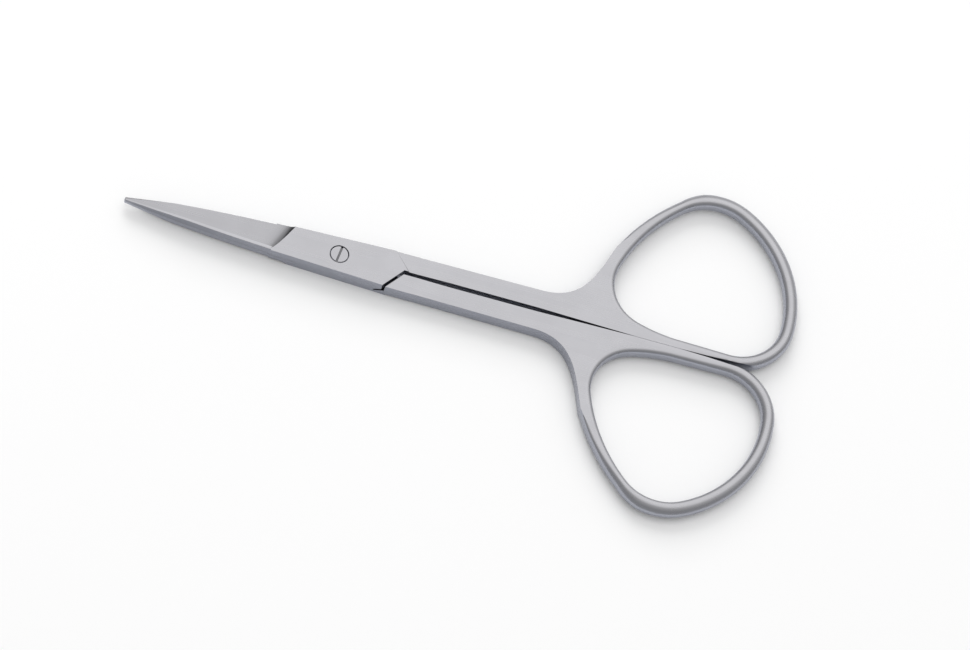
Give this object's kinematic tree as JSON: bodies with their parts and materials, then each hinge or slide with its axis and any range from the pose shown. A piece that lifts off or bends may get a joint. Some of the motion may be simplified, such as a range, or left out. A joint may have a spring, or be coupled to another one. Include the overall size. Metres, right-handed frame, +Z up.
{
  "type": "cuticle scissors",
  "caption": "Small straight cuticle scissors with slim pointed blades, a slotted pivot screw, joined shanks and large open finger rings, shown closed.",
  "frame": {"origin": "on the pivot axis, in the plane of the joint's underside, where the closed scissors lie on a table", "axes": "+X from the pivot towards the finger rings, so the blades point to -X; +Y towards the ring of the top half; +Z up, along the pivot axis, towards the screw's slotted head"},
  "size_m": [0.0901, 0.0494, 0.0024],
  "materials": {
    "top_half": "satin, fine brushed grain",
    "bottom_half": "satin, fine brushed grain",
    "pivot_screw": "satin, turned face"
  },
  "bodies": {
    "bottom": {"bottom_half": "bottom_half", "pivot_screw": "pivot_screw"},
    "top": {"top_half": "top_half"}
  },
  "joints": [
    {"name": "pivot", "type": "hinge", "parent": "bottom", "child": "top", "pos_m": [0, 0, 0.0012], "axis": [0, 0, 1], "range_deg": [0, 140]}
  ]
}
